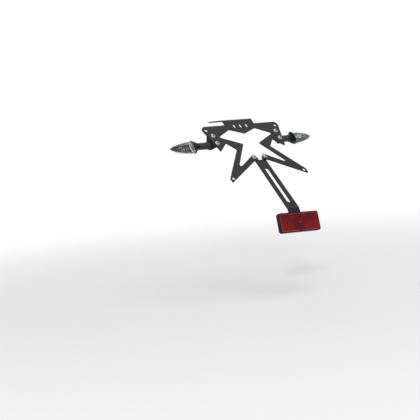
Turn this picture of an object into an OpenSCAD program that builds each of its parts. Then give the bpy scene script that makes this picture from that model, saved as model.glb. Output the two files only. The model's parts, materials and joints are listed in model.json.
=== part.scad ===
// Tail tidy for a sports motorbike: a star shaped number plate carrier folded from one sheet,
// two short indicators on folded brackets, and a red reflector on a slotted drop arm.
// Millimetres. X points to the bike's right, Y forward and Z up. The origin is the centre
// of the four mounting slots, on the top face of the flange that meets the tail.

/* [Carrier sheet] */
// Thickness of the carrier sheet
plate_t = 2; // [1.5:0.1:3]
// Inner radius of the carrier's fold
fold_r = 3; // [2:0.5:5]
// Lean of the carrier back from upright, in degrees
carrier_lean = 40; // [30:1:50]
// Width of the flange and of the tab below it
tab_w = 67; // [62:1:72]
// Height of the tab between the fold and the ears
tab_rise = 10; // [8:1:20]
// Length of the flange from the fold to its front edge
flange_len = 50; // [46:1:60]
// Chamfer of the flange's front corners
flange_chamfer = 8; // [2:1:10]

/* [Tail mounting] */
// Distance between the mounting slots across the flange
mount_dx = 40; // [36:1:44]
// Distance between the mounting slots along the flange
mount_dy = 28; // [24:1:30]
// Width of a mounting slot
mount_slot_w = 6.6; // [5.5:0.1:7]
// Length of a mounting slot
mount_slot_len = 12; // [9:0.5:14]

/* [Number plate holes] */
// Distance between the two upper holes
top_hole_dx = 160; // [156:1:166]
// Distance between the two lower holes
foot_hole_dx = 162; // [156:1:168]
// Height between the upper and the lower holes
plate_hole_dy = 112; // [108:1:118]
// Diameter of a number plate hole
plate_hole_d = 6; // [5:0.1:6.4]
// Drop of the upper holes below the top edge of the ears
top_hole_drop = 9; // [8.5:0.5:11]

/* [Star outline] */
// Radius of the outer corner of an ear
ear_r = 8; // [6:0.5:8.5]
// Edge of the sheet beyond an upper hole
ear_side = 7.5; // [7:0.5:10]
// Height of the bar between the tab and an ear
bar_h = 11; // [9:0.5:14]
// Depth of the point in the middle of the bar
vee_h = 22.4; // [20:0.2:26]
// Reach of the fang below the lower ear bolt
fang_reach = 19; // [14:0.5:22]
// Width of the elbow where a leg leaves its ear
elbow_w = 20.3; // [17:0.1:22]
// Reach of the foot's tip below its hole
foot_reach = 8; // [7:0.5:11]
// Radius in the crotch between the two runs of a leg
crotch_r = 2.6; // [1.5:0.1:3.5]
// Radius in the inner corner beside an ear
apex_r = 2.5; // [1.5:0.1:3.5]
// Radius that the cutter leaves on the points
point_r = 1; // [0.5:0.1:1.5]

/* [Cable slots] */
// Number of slots for cable ties across the bar
cable_slot_count = 3; // [1:1:3]
// Distance between neighbouring cable slots
cable_slot_pitch = 14; // [12:0.5:16]
// Width of a cable slot
cable_slot_w = 4.5; // [4:0.5:6]
// Length of a cable slot
cable_slot_len = 8.5; // [8:0.5:10]
// Drop of the cable slots below the top edge of the ears
cable_slot_drop = 3.5; // [2:0.5:6]

/* [Fasteners] */
// Thread of the bolts through the ears, the legs and the reflector
bolt_d = 5; // [4:0.5:5.5]
// Head diameter of a button bolt
bolt_head_d = 9.5; // [8:0.1:10]
// Head height of a button bolt
bolt_head_h = 2.2; // [1.6:0.05:3.5]
// Key size of the hexagon socket in a head
bolt_key = 3; // [2.5:0.1:4]
// Height of a thin nut
nut_h = 2.7; // [2.4:0.1:3.2]
// Width of a thin nut across its flats
nut_af = 8; // [7.5:0.1:8.5]
// Thread that stands out past a nut
thread_out = 1; // [0.5:0.1:1.4]
// Gap round a bolt in its hole
bolt_gap = 0.25; // [0.1:0.05:0.4]
// Gap round a thread in its nut
thread_gap = 0.05; // [0.02:0.01:0.1]
// Distance between the left and the right ear bolts
ear_bolt_dx = 145; // [143:1:149]
// Drop of the upper ear bolts below the top edge of the ears
ear_bolt_drop = 23; // [21:0.5:24]
// Distance between the two bolts of an ear
ear_bolt_pitch = 17.5; // [16:0.5:19]
// Distance between the two leg bolts
leg_bolt_dx = 25; // [23:0.5:27]
// Drop of the leg bolts below the top edge of the ears
leg_bolt_drop = 80; // [78:0.5:84]

/* [Indicator bracket] */
// Thickness of an indicator bracket
bracket_t = 2; // [1.5:0.1:2.5]
// Inner radius of a bracket's fold
bracket_fold_r = 2; // [1.5:0.1:3]
// Margin of a bracket above and below its bolts
bracket_margin = 6.5; // [5.5:0.5:7.5]
// Outer face of the bracket beyond its bolts
bracket_out = 8; // [8:0.5:9]
// Inner edge of the bracket short of its bolts
bracket_in = 8; // [6:0.5:9]
// Radius of the flange round the indicator stem
bracket_eye_r = 6.5; // [6:0.5:9.5]

/* [Indicators] */
// Drop of the indicators below the top edge of the ears
lamp_drop = 33.5; // [32:0.5:36]
// Depth of the indicators behind the face of the carrier
lamp_back = 13; // [13:0.5:17]
// Thread of the hollow stem
stem_d = 6; // [5:0.5:7]
// Bore of the hollow stem
stem_bore = 3; // [2:0.1:3.2]
// Height of the stem nut
stem_nut_h = 3; // [2.5:0.5:3.5]
// Width of the stem nut across its flats
stem_nut_af = 10; // [9:0.5:11]
// Thickness of the stem washer
stem_washer_t = 1; // [0.8:0.1:1.4]
// Diameter of the rubber stalk
stalk_d = 12.6; // [10:0.1:13]
// Length of the rubber stalk
stalk_len = 23.5; // [16:0.5:32]
// Diameter of the stalk's foot
stalk_foot_d = 15; // [14:0.5:18]
// Thickness of the stalk's foot
stalk_foot_t = 2.5; // [1.5:0.1:4]
// Length over which the foot goes over into the stalk
stalk_flare_len = 9; // [4:0.5:12]
// Length of the flared body
body_len = 14; // [12:0.5:20]
// Diameter of the body's neck
body_neck_d = 13.4; // [12.5:0.1:15]
// Diameter of the lens at the body
lens_d = 25; // [23:0.5:30]
// Length of the lens
lens_len = 45; // [36:1:56]
// Wall of the body and of the lens
lamp_wall = 1.8; // [1.4:0.1:2.2]
// Length of the lens's spigot in the body
spigot_len = 4.4; // [4:0.1:5]
// Inset of the spigot from the body's rim
spigot_inset = 2.8; // [2.4:0.1:3.2]
// Depth of the bowl between the lens's spigot and the board
bowl_depth = 5; // [4:0.5:6]
// Number of light emitting diodes round the middle one
led_count = 5; // [3:1:6]
// Diameter of one light emitting diode
led_d = 2.4; // [1.6:0.1:2.6]
// Head diameter of the lens screw
lens_screw_d = 3.6; // [3:0.1:4]

/* [Drop arm] */
// Thickness of the drop arm
arm_t = 2; // [1.5:0.1:3]
// Width of the arm at its upper fold
arm_w_top = 24.5; // [22:0.5:28]
// Width of the arm at its lower fold
arm_w_low = 25.5; // [22:0.1:30]
// Length of the arm between its folds
arm_len = 111; // [95:0.5:130]
// Kick of the arm towards the rear at its upper fold, in degrees
arm_kick = 3.3; // [1:0.1:8]
// Width of the arm's slot
arm_slot_w = 7.2; // [6:0.1:9]
// Length of the arm's slot
arm_slot_len = 81.5; // [60:0.5:84]
// Solid length between the upper fold and the slot
arm_slot_top = 16.2; // [12:0.2:18]
// Drop from the lower fold to the reflector's stud
tongue_drop = 24.2; // [22:0.1:32]
// Reach of the tongue past the stud
tongue_end = 10; // [8:0.5:12]
// Chamfer of the tongue's lower corners
tongue_chamfer = 4; // [1:0.5:5]

/* [Reflector] */
// Lean of the reflector back from upright, in degrees
reflector_lean = 14.8; // [5:0.2:25]
// Turn of the reflector about its stud, clockwise from behind, in degrees
reflector_turn = 4; // [0:0.1:8]
// Width of the reflector
reflector_w = 87.6; // [80:0.2:100]
// Height of the reflector
reflector_h = 34.2; // [30:0.2:40]
// Depth of the reflector's housing
reflector_d = 7.6; // [7:0.1:12]
// Radius of the housing's corners
reflector_r = 4.4; // [2:0.1:6]
// Wall of the housing
reflector_wall = 1.6; // [1.4:0.1:2.6]
// Thickness of the red lens
red_lens_t = 2.6; // [2:0.1:3.2]
// How far the red lens stands proud of the housing
red_lens_proud = 0.4; // [0.2:0.1:0.6]
// Thickness of the washer behind the tongue
washer_t = 1; // [0.8:0.1:1.4]
// Outer diameter of the washer
washer_d = 10; // [9:0.1:12]

/* [Hidden] */
$fn = 48;

// Fits
bolt_hole_d = bolt_d + 2 * bolt_gap;
nut_bore = bolt_d + 2 * thread_gap;
seat_gap = 0.15;
cut = 1;

// The carrier's fold, and where its outline goes over into the folded tab
carrier_fold = 90 - carrier_lean;
tab_join = tab_rise / 2;

// Holes of the carrier: x from the middle, y up from the top edge of the ears
top_hole = [top_hole_dx / 2, -top_hole_drop];
foot_hole = [foot_hole_dx / 2, -top_hole_drop - plate_hole_dy];
ear_bolt_high = [ear_bolt_dx / 2, -ear_bolt_drop];
ear_bolt_low = [ear_bolt_dx / 2, -ear_bolt_drop - ear_bolt_pitch];
ear_bolts_at = [ear_bolt_high, ear_bolt_low];
leg_bolt = [leg_bolt_dx / 2, -leg_bolt_drop];

// Points of the star, each tied to the hole or the bolt beside it
ear_edge = [top_hole.x + ear_side, top_hole.y];
fang_tip = [ear_bolt_low.x + 1.4, ear_bolt_low.y - fang_reach];
side_slope = (ear_edge.x - fang_tip.x) / (ear_edge.y - fang_tip.y);
ear_corner = [ear_edge.x - side_slope * ear_edge.y, 0];
notch = [ear_bolt_low.x - 19, ear_bolt_low.y - 1.5];
elbow = [notch.x - 15, notch.y - 16.4];
inner_elbow = [elbow.x - elbow_w, elbow.y + 10.8];
apex = [ear_bolt_high.x - 10.1, ear_bolt_high.y - 4];
bar_corner = [tab_w / 2 - 3.9, -bar_h];
foot_knee = [foot_hole.x + 1.3, foot_hole.y + 7.4];
foot_heel = [foot_hole.x + 6.5, foot_hole.y + 1.2];
foot_tip = [foot_hole.x + 5, foot_hole.y - foot_reach];
crotch = [foot_hole.x - 20.9, foot_hole.y + 17.9];
leg_end_low = [leg_bolt.x + 2.1, leg_bolt.y - 8];
leg_end_in = [leg_bolt.x - 8.2, leg_bolt.y - 5.2];
leg_end_high = [leg_bolt.x - 1.4, leg_bolt.y + 6.7];

// Indicator bracket and indicator, in the carrier's own frame
bracket_face = ear_bolt_low.x + bracket_out;
bracket_inner = ear_bolt_low.x - bracket_in;
bracket_top = ear_bolt_high.y + bracket_margin;
bracket_low = ear_bolt_low.y - bracket_margin;
bracket_tip = -lamp_back - bracket_eye_r;
bracket_corner_r = 4;
lamp_axis = [bracket_face, -lamp_drop, -lamp_back];
stem_hole_r = stem_d / 2 + bolt_gap;
stem_in = stem_nut_h + stem_washer_t + bracket_t + thread_out;
stem_out = stalk_len - 6;
stem_chamfer = 0.5;
stalk_edge = 0.5;

// Stations along an indicator, from the outer face of its bracket
lens_at = stalk_len + body_len;
mouth_at = lens_at - spigot_len - seat_gap;
board_at = mouth_at - bowl_depth;
board_t = 1.2;
bowl_t = 0.8;
lens_r = lens_d / 2;
mouth_r = lens_r - spigot_inset;
spigot_r = mouth_r - seat_gap;
spigot_wall = 0.9;
spigot_in_r = spigot_r - spigot_wall;
led_ring_r = led_d * 1.2;
bowl_back_r = led_ring_r + led_d / 2 + 0.3;
bowl_front_r = spigot_in_r - seat_gap;
cable_r = stem_bore / 2 + 1;
lens_lip = 0.2;
screw_head_h = 1;
screw_at = lens_at - spigot_len / 2;

// Drop arm, in the carrier's own frame
arm_top = leg_bolt.y - 5.7;
arm_fold = leg_bolt.y - 10.5;
arm_lobe_r = 4.7;
lower_fold = carrier_lean + arm_kick - reflector_lean;

// Reflector, from the rear face of the tongue
lens_seat = reflector_d - red_lens_t + red_lens_proud;
reflector_floor = 2;
lens_ledge = 1.8;
stud_head_d = 2 * bolt_d;
stud_head_h = 1.6;

// A vector of length one
function unit(v) = v / norm(v);
// The turn from one bearing to another, by the shorter way round
function turn(from, to) = (to - from + 540) % 360 - 180;
// The arc of radius r that rounds the corner at b, between its neighbours a and c
function corner(a, b, c, r) =
    let (p = unit(a - b), q = unit(c - b), half = acos(p * q) / 2)
    let (centre = b + unit(p + q) * r / sin(half), run = r / tan(half))
    let (s = b + p * run - centre, e = b + q * run - centre)
    let (from = atan2(s.y, s.x), sweep = turn(from, atan2(e.y, e.x)))
    let (steps = max(2, ceil(abs(sweep) / (r > 2 ? 12 : 30))))
    [for (i = [0:steps]) let (w = from + sweep * i / steps) centre + r * [cos(w), sin(w)]];
// An outline of [x, y, r] corners, each rounded by its own r, or left sharp where r is 0
function rounded(pts) = [for (i = [0:len(pts) - 1])
    let (n = len(pts), a = pts[(i + n - 1) % n], b = pts[i], c = pts[(i + 1) % n])
    each (b[2] == 0 ? [[b.x, b.y]] : corner([a.x, a.y], [b.x, b.y], [c.x, c.y], b[2]))];
// The same corners on the other side of the middle, in reverse order
function mirrored(pts) = [for (i = [len(pts) - 1:-1:0]) [-pts[i].x, pts[i].y, pts[i][2]]];
function with_r(p, r) = [p.x, p.y, r];
function box_corners(w, h, r) = [[-w / 2, -h / 2, r], [w / 2, -h / 2, r],
    [w / 2, h / 2, r], [-w / 2, h / 2, r]];

// A bearing as a vector, and the way that the face looks on a sheet that runs on a bearing
function way(w) = [cos(w), sin(w)];
function face_way(w) = way(w - 90);
// A folded sheet from the side: points and bearings on its face. Each [run, fold] goes
// straight, then folds; a fold above zero turns away from the face.
function fold_stations(at, w, t, folds, i = 0) = i == len(folds) ? [] :
    let (p = at + folds[i][0] * way(w), f = folds[i][1])
    f == 0 ? [[p, w]] :
    let (r = f > 0 ? fold_r + t : -fold_r, centre = p - r * face_way(w), n = ceil(abs(f) / 5))
    concat([for (k = [0:n]) [centre + r * face_way(w + f * k / n), w + f * k / n]],
        fold_stations(centre + r * face_way(w + f), w + f, t, folds, i + 1));
// A strip of sheet of the given width, folded as listed, from a point on its face towards -y
module folded_strip(width, t, at, folds) {
    stations = concat([[at, 180]], fold_stations(at, 180, t, folds));
    last = len(stations) - 1;
    translate([-width / 2, 0, 0]) rotate([90, 0, 90]) linear_extrude(width)
        polygon(concat([for (s = stations) s[0]],
            [for (i = [last:-1:0]) stations[i][0] - t * face_way(stations[i][1])]));
}
// Carries what follows past a fold that turns away from the face, or towards it
module past_fold_away(t, angle)
    translate([0, 0, -t - fold_r]) rotate([angle, 0, 0]) translate([0, 0, t + fold_r]) children();
module past_fold_towards(angle)
    translate([0, 0, fold_r]) rotate([-angle, 0, 0]) translate([0, 0, -fold_r]) children();

module slot_shape(len, w) {
    square([len - w, w], center = true);
    for (s = [-1, 1]) translate([s * (len - w) / 2, 0]) circle(d = w);
}

// What a chamfer takes off an outline's corner that points to +x and +y
module corner_cutter(chamfer)
    rotate(45) translate([-chamfer / sqrt(2), -2 * chamfer]) square(4 * chamfer);

// The carrier's frame: y up the sheet from the top edge of the ears, z out of its rear face
module on_carrier()
    translate([0, -flange_len / 2, 0]) past_fold_away(plate_t, carrier_fold)
        translate([0, -tab_rise, 0]) children();
// The frame of an indicator: x outward along its axis from the bracket's outer face
module on_lamp(side)
    on_carrier() mirror([side < 0 ? 1 : 0, 0, 0]) translate(lamp_axis) children();
// The frame of the arm between its folds: y = 0 at the upper one, z = 0 on the rear face
module on_arm()
    on_carrier() translate([0, arm_fold, -plate_t]) past_fold_towards(arm_kick)
        children();
// The frame of the reflector: at its stud, z = 0 on the tongue's rear face
module on_tongue()
    on_arm() translate([0, -arm_len, 0]) past_fold_away(arm_t, lower_fold)
        translate([0, -tongue_drop, 0]) children();

star_half = [[tab_w / 2, tab_join, 0], [tab_w / 2, 0, point_r],
    with_r(ear_corner, ear_r), with_r(fang_tip, point_r), with_r(notch, point_r),
    with_r(elbow, point_r), with_r(foot_knee, 2 * point_r), with_r(foot_heel, 2 * point_r),
    with_r(foot_tip, point_r), with_r(leg_end_low, point_r), with_r(leg_end_in, point_r),
    with_r(leg_end_high, point_r), with_r(crotch, crotch_r), with_r(inner_elbow, point_r),
    with_r(apex, apex_r), with_r(bar_corner, point_r)];

module star_shape()
    difference() {
        polygon(rounded(concat(star_half, [[0, -vee_h, point_r]], mirrored(star_half))));
        for (i = [0:cable_slot_count - 1])
            translate([(i - (cable_slot_count - 1) / 2) * cable_slot_pitch, -cable_slot_drop])
                rotate(90) slot_shape(cable_slot_len, cable_slot_w);
        for (s = [-1, 1]) {
            for (p = [top_hole, foot_hole]) translate([s * p.x, p.y]) circle(d = plate_hole_d);
            for (p = concat(ear_bolts_at, [leg_bolt]))
                translate([s * p.x, p.y]) circle(d = bolt_hole_d);
        }
    }

// The carrier's sheet: the star, and a tab that folds forward into the flange
module plate_carrier() color([0.27, 0.27, 0.28]) difference() {
    on_carrier() {
        translate([0, 0, -plate_t]) linear_extrude(plate_t) star_shape();
        mirror([0, 1, 0]) folded_strip(tab_w, plate_t, [-tab_join, 0],
            [[tab_rise - tab_join, carrier_fold], [flange_len, 0]]);
    }
    translate([0, 0, -plate_t - cut]) linear_extrude(plate_t + 2 * cut)
        for (sx = [-1, 1]) {
            for (sy = [-1, 1]) translate([sx * mount_dx / 2, sy * mount_dy / 2])
                slot_shape(mount_slot_len, mount_slot_w);
            mirror([sx < 0 ? 1 : 0, 0]) translate([tab_w / 2, flange_len / 2])
                corner_cutter(flange_chamfer);
        }
}

// A button head bolt with its head seated on z = 0 and its shank down to -grip
module button_bolt(grip)
    difference() {
        union() {
            rotate_extrude() polygon(concat([[0, 0]], [for (i = [0:6]) let (a = i * 14)
                [bolt_head_d / 2 * cos(a), bolt_head_h * sin(a) / sin(84)]],
                [[0, bolt_head_h]]));
            translate([0, 0, -grip]) cylinder(d = bolt_d, h = grip);
        }
        translate([0, 0, bolt_head_h * 0.3])
            cylinder(d = bolt_key / cos(30), h = bolt_head_h, $fn = 6);
    }
// A nut that hangs below z = 0, with its corners chamfered and two flats across x
module hex_nut(af, h, bore)
    translate([0, 0, -h]) difference() {
        intersection() {
            rotate(30) cylinder(d = af / cos(30), h = h, $fn = 6);
            rotate_extrude() polygon([[0, 0], [af / 2, 0], [af * 0.6, af * 0.06],
                [af * 0.6, h - af * 0.06], [af / 2, h], [0, h]]);
        }
        translate([0, 0, -cut]) cylinder(d = bore, h = h + 2 * cut);
    }

module ear_bolts() color("silver") on_carrier()
    for (s = [-1, 1], p = ear_bolts_at) translate([s * p.x, p.y, 0])
        button_bolt(plate_t + bracket_t + nut_h + thread_out);
module ear_nuts() color("silver") on_carrier()
    for (s = [-1, 1], p = ear_bolts_at) translate([s * p.x, p.y, -plate_t - bracket_t])
        hex_nut(nut_af, nut_h, nut_bore);

// An indicator bracket: a leg behind the ear, a fold, and a flange that carries the stem
module bracket(side) on_carrier() mirror([side < 0 ? 1 : 0, 0, 0]) {
    fold_x = bracket_face - bracket_fold_r - bracket_t;
    flange_root = -plate_t - bracket_t - bracket_fold_r;
    eye = [-lamp_drop - bracket_eye_r, -lamp_drop + bracket_eye_r];
    translate([0, 0, -plate_t - bracket_t]) linear_extrude(bracket_t) difference() {
        polygon(rounded([[bracket_inner, bracket_low, bracket_corner_r],
            [fold_x, bracket_low, 0], [fold_x, bracket_top, 0],
            [bracket_inner, bracket_top, bracket_corner_r]]));
        for (p = ear_bolts_at) translate(p) circle(d = bolt_hole_d);
    }
    translate([fold_x, bracket_low, flange_root]) rotate([-90, 0, 0])
        rotate([0, 0, -90]) rotate_extrude(angle = 90) translate([bracket_fold_r, 0])
            square([bracket_t, bracket_top - bracket_low]);
    translate([bracket_face - bracket_t, 0, 0]) rotate([90, 0, 90]) linear_extrude(bracket_t)
        difference() {
            polygon(rounded([[bracket_low, flange_root, 0], [bracket_top, flange_root, 0],
                [eye[1], bracket_tip, bracket_eye_r - 1], [eye[0], bracket_tip, bracket_eye_r - 1]]));
            translate([-lamp_drop, -lamp_back]) circle(r = stem_hole_r);
        }
}
module bracket_left() color([0.24, 0.24, 0.25]) bracket(-1);
module bracket_right() color([0.24, 0.24, 0.25]) bracket(1);

// A turned part of an indicator, from [station, radius] points
module turned(profile) rotate([0, 90, 0]) rotate_extrude()
    polygon([for (p = profile) [p[1], p[0]]]);

// The hollow threaded stem that holds an indicator to its bracket
module stem(side) color("silver") on_lamp(side) turned([[-stem_in, stem_bore / 2],
    [-stem_in, stem_d / 2 - stem_chamfer], [-stem_in + stem_chamfer, stem_d / 2],
    [stem_out, stem_d / 2], [stem_out, stem_bore / 2]]);
module stem_left() stem(-1);
module stem_right() stem(1);

module stem_washer(side) color("silver") on_lamp(side) turned([
    [-bracket_t - stem_washer_t, stem_hole_r], [-bracket_t - stem_washer_t, stem_nut_af / 2],
    [-bracket_t, stem_nut_af / 2], [-bracket_t, stem_hole_r]]);
module stem_washer_left() stem_washer(-1);
module stem_washer_right() stem_washer(1);

module stem_nut(side) color("silver") on_lamp(side)
    translate([-bracket_t - stem_washer_t, 0, 0]) rotate([0, 90, 0])
        hex_nut(stem_nut_af, stem_nut_h, stem_d + 2 * thread_gap);
module stem_nut_left() stem_nut(-1);
module stem_nut_right() stem_nut(1);

// The rubber stalk: a foot against the bracket, then a round arm moulded on the stem
function stalk_flare(s) = stalk_d / 2 + (stalk_foot_d / 2 - stalk_edge - stalk_d / 2) * pow(1 - s, 2);
module stalk(side) color([0.2, 0.2, 0.21]) on_lamp(side) turned(concat(
    [[0, stem_d / 2 + thread_gap], [0, stalk_foot_d / 2 - stalk_edge],
        [stalk_edge, stalk_foot_d / 2], [stalk_foot_t - stalk_edge, stalk_foot_d / 2]],
    [for (i = [0:6]) [stalk_foot_t + stalk_flare_len * i / 6, stalk_flare(i / 6)]],
    [[stalk_len, stalk_d / 2], [stalk_len, cable_r], [stem_out + thread_gap, cable_r],
        [stem_out + thread_gap, stem_d / 2 + thread_gap]]));
module stalk_left() stalk(-1);
module stalk_right() stalk(1);

// The outer radius of an indicator's body at a station, and its wall's inner radius
function flare(x) = let (s = (x - stalk_len) / body_len)
    body_neck_d / 2 + (lens_r - body_neck_d / 2) * (1 - cos(s * 180)) / 2;
function flare_in(x) = min(flare(x) - lamp_wall, mouth_r - 0.5);
board_r = flare_in(board_at - board_t) - seat_gap;

module lamp_body(side) color([0.05, 0.05, 0.05]) on_lamp(side) difference() {
    turned(concat(
        [for (i = [0:10]) let (x = stalk_len + body_len * i / 10) [x, flare(x)]],
        [[lens_at, mouth_r], [mouth_at, mouth_r]],
        [for (i = [0:6]) let (x = mouth_at - (mouth_at - board_at + board_t) * i / 6)
            [x, flare_in(x)]],
        [[board_at - board_t, cable_r], [stalk_len, cable_r]]));
    translate([screw_at, 0, 0]) rotate([90, 0, 0]) {
        cylinder(d = lens_screw_d / 2 + 2 * thread_gap, h = lens_r + cut);
        translate([0, 0, lens_r - screw_head_h])
            cylinder(d = lens_screw_d + 2 * seat_gap, h = screw_head_h + cut);
    }
}
module lamp_body_left() lamp_body(-1);
module lamp_body_right() lamp_body(1);

// The bright bowl behind the lens, shaped as a paraboloid
function bowl_out(x) = let (s = (x - board_at) / (lens_at - board_at))
    sqrt((1 - s) * pow(bowl_back_r + bowl_t, 2) + s * pow(bowl_front_r, 2));
module lamp_bowl(side) color("gainsboro") on_lamp(side) turned(concat(
    [for (i = [0:8]) let (x = board_at + (lens_at - board_at) * i / 8) [x, bowl_out(x)]],
    [for (i = [8:-1:0]) let (x = board_at + (lens_at - board_at) * i / 8)
        [x, bowl_out(x) - bowl_t]]));
module lamp_bowl_left() lamp_bowl(-1);
module lamp_bowl_right() lamp_bowl(1);

module led_board(side) color([0.1, 0.25, 0.15]) on_lamp(side)
    turned([[board_at - board_t, 0], [board_at - board_t, board_r], [board_at, board_r],
        [board_at, 0]]);
module led_board_left() led_board(-1);
module led_board_right() led_board(1);

// Light emitting diodes: one in the middle and a ring round it
module leds(side) color([0.95, 0.8, 0.35]) on_lamp(side) translate([board_at, 0, 0])
    for (i = [0:led_count]) rotate([i * 360 / led_count, 0, 0])
        translate([0, i == 0 ? 0 : led_ring_r, 0]) turned([[0, 0], [0, led_d / 2],
            [led_d * 0.4, led_d / 2], [led_d * 0.65, led_d * 0.43],
            [led_d * 0.83, led_d * 0.25], [led_d * 0.9, 0]]);
module leds_left() leds(-1);
module leds_right() leds(1);

// The outer radius of a lens of the given base and length at a share s of its length
function lens_curve(base, s) = base * pow(max(0, 1 - pow(s, 2.2)), 0.9);
// Shares of the length that crowd towards the tip
function lens_share(i, n) = sin(90 * i / n);
module lamp_lens(side) color([0.85, 0.87, 0.88, 0.6]) on_lamp(side) difference() {
    turned(concat([[lens_at - spigot_len, 0], [lens_at - spigot_len, spigot_r],
        [lens_at, spigot_r]],
        [for (i = [0:12]) let (s = lens_share(i, 12))
            [lens_at + lens_len * s, lens_curve(lens_r - lens_lip, s)]]));
    turned(concat([[lens_at - spigot_len - cut, 0], [lens_at - spigot_len - cut, spigot_in_r],
        [lens_at + lamp_wall, spigot_in_r]],
        [for (i = [0:10]) let (s = lens_share(i, 10))
            [lens_at + lamp_wall + (lens_len - 2 * lamp_wall) * s,
                lens_curve(lens_r - lens_lip - lamp_wall, s)]]));
    translate([screw_at, 0, 0]) rotate([90, 0, 0])
        cylinder(d = lens_screw_d / 2 + 2 * thread_gap, h = lens_r);
}
module lamp_lens_left() lamp_lens(-1);
module lamp_lens_right() lamp_lens(1);

// The screw through the body's wall into the lens's spigot, on the side towards the ground
module lens_screw(side) color("silver") on_lamp(side) translate([screw_at, 0, 0])
    rotate([90, 0, 0]) {
        translate([0, 0, spigot_in_r + seat_gap])
            cylinder(d = lens_screw_d / 2, h = lens_r - screw_head_h - spigot_in_r - seat_gap);
        translate([0, 0, lens_r - screw_head_h]) difference() {
            cylinder(d = lens_screw_d, h = screw_head_h - 0.2);
            for (a = [0, 90]) rotate(a) translate([0, 0, screw_head_h])
                cube([lens_screw_d * 0.7, 0.6, screw_head_h], center = true);
        }
    }
module lens_screw_left() lens_screw(-1);
module lens_screw_right() lens_screw(1);

// The drop arm: a head behind the leg ends, a slotted strip and a tongue, folded from one
// strip and cut to this outline, seen square to the carrier
arm_low_y = arm_fold - arm_len * cos(arm_kick);
arm_half = [[leg_bolt.x - arm_lobe_r, arm_top, point_r],
    [leg_bolt.x - arm_lobe_r, leg_bolt.y + arm_lobe_r, arm_lobe_r - seat_gap],
    [leg_bolt.x + arm_lobe_r, leg_bolt.y + arm_lobe_r, arm_lobe_r - seat_gap],
    [leg_bolt.x + arm_lobe_r, leg_bolt.y - point_r, 0],
    [arm_w_top / 2, arm_fold + 2 * point_r, 0], [arm_w_low / 2, arm_low_y, 0]];
module drop_arm() color([0.25, 0.25, 0.26]) difference() {
    on_carrier() intersection() {
        folded_strip(2 * (leg_bolt.x + arm_lobe_r) + cut, arm_t,
            [leg_bolt.y + 2 * arm_lobe_r, -plate_t],
            [[2 * arm_lobe_r + leg_bolt.y - arm_fold, -arm_kick], [arm_len, lower_fold],
            [tongue_drop + tongue_end, 0]]);
        translate([0, 0, -arm_len]) linear_extrude(2 * arm_len)
            polygon(rounded(concat(arm_half, [[arm_w_low / 2, 2 * arm_low_y, 0],
                [-arm_w_low / 2, 2 * arm_low_y, 0]], mirrored(arm_half))));
    }
    at_leg_bolts() translate([0, 0, -plate_t - arm_t - cut])
        cylinder(d = bolt_hole_d, h = arm_t + 2 * cut);
    on_arm() translate([0, -arm_slot_top - arm_slot_len / 2, -arm_t - cut])
        linear_extrude(arm_t + 2 * cut) rotate(90) slot_shape(arm_slot_len, arm_slot_w);
    on_tongue() translate([0, 0, -arm_t - cut]) {
        cylinder(d = bolt_hole_d, h = arm_t + 2 * cut);
        for (s = [-1, 1]) mirror([s < 0 ? 1 : 0, 0, 0]) translate([arm_w_low / 2, -tongue_end, 0])
            linear_extrude(arm_t + 2 * cut) mirror([0, 1]) corner_cutter(tongue_chamfer);
    }
}

module at_leg_bolts() on_carrier()
    for (s = [-1, 1]) translate([s * leg_bolt.x, leg_bolt.y, 0]) children();
module arm_bolts() color("silver") at_leg_bolts()
    button_bolt(plate_t + arm_t + nut_h + thread_out);
module arm_nuts() color("silver") at_leg_bolts()
    translate([0, 0, -plate_t - arm_t]) hex_nut(nut_af, nut_h, nut_bore);

// The reflector: a tray that the stud holds to the tongue, closed by the red lens
module on_reflector() on_tongue() rotate(-reflector_turn) children();
module inset_box(inset)
    polygon(rounded(box_corners(reflector_w - 2 * inset, reflector_h - 2 * inset,
        max(0.6, reflector_r - inset))));
module reflector_housing() color([0.06, 0.06, 0.06]) on_reflector() difference() {
    linear_extrude(reflector_d) inset_box(0);
    translate([0, 0, lens_seat]) linear_extrude(reflector_d) inset_box(reflector_wall);
    translate([0, 0, reflector_floor]) linear_extrude(reflector_d)
        inset_box(reflector_wall + lens_ledge);
    translate([0, 0, -cut]) cylinder(d = bolt_hole_d, h = reflector_floor + 2 * cut);
}
// The red lens, with its rim bevelled
module reflector_lens() color([0.6, 0.08, 0.12]) on_reflector() translate([0, 0, lens_seat]) {
    inset = reflector_wall + seat_gap;
    bevel = 2 * red_lens_proud;
    linear_extrude(red_lens_t - red_lens_proud) inset_box(inset);
    translate([0, 0, red_lens_t - red_lens_proud]) linear_extrude(red_lens_proud)
        inset_box(inset + bevel);
}
module reflector_stud() color("silver") on_reflector() {
    translate([0, 0, reflector_floor]) cylinder(d = stud_head_d, h = stud_head_h);
    grip = arm_t + washer_t + nut_h + thread_out;
    translate([0, 0, -grip]) cylinder(d = bolt_d, h = grip + reflector_floor);
}
module reflector_washer() color("silver") on_reflector() translate([0, 0, -arm_t - washer_t])
    difference() {
        cylinder(d = washer_d, h = washer_t);
        translate([0, 0, -cut]) cylinder(d = bolt_hole_d, h = washer_t + 2 * cut);
    }
module reflector_nut() color("silver") on_reflector()
    translate([0, 0, -arm_t - washer_t]) hex_nut(nut_af, nut_h, nut_bore);

plate_carrier();
ear_bolts();
ear_nuts();
bracket_left();
bracket_right();
stem_left();
stem_right();
stem_washer_left();
stem_washer_right();
stem_nut_left();
stem_nut_right();
stalk_left();
stalk_right();
lamp_body_left();
lamp_body_right();
lamp_bowl_left();
lamp_bowl_right();
led_board_left();
led_board_right();
leds_left();
leds_right();
lamp_lens_left();
lamp_lens_right();
lens_screw_left();
lens_screw_right();
drop_arm();
arm_bolts();
arm_nuts();
reflector_housing();
reflector_lens();
reflector_stud();
reflector_washer();
reflector_nut();
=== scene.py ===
import json
import math
import random

import bmesh
import bpy
from mathutils import Matrix, Vector


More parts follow.
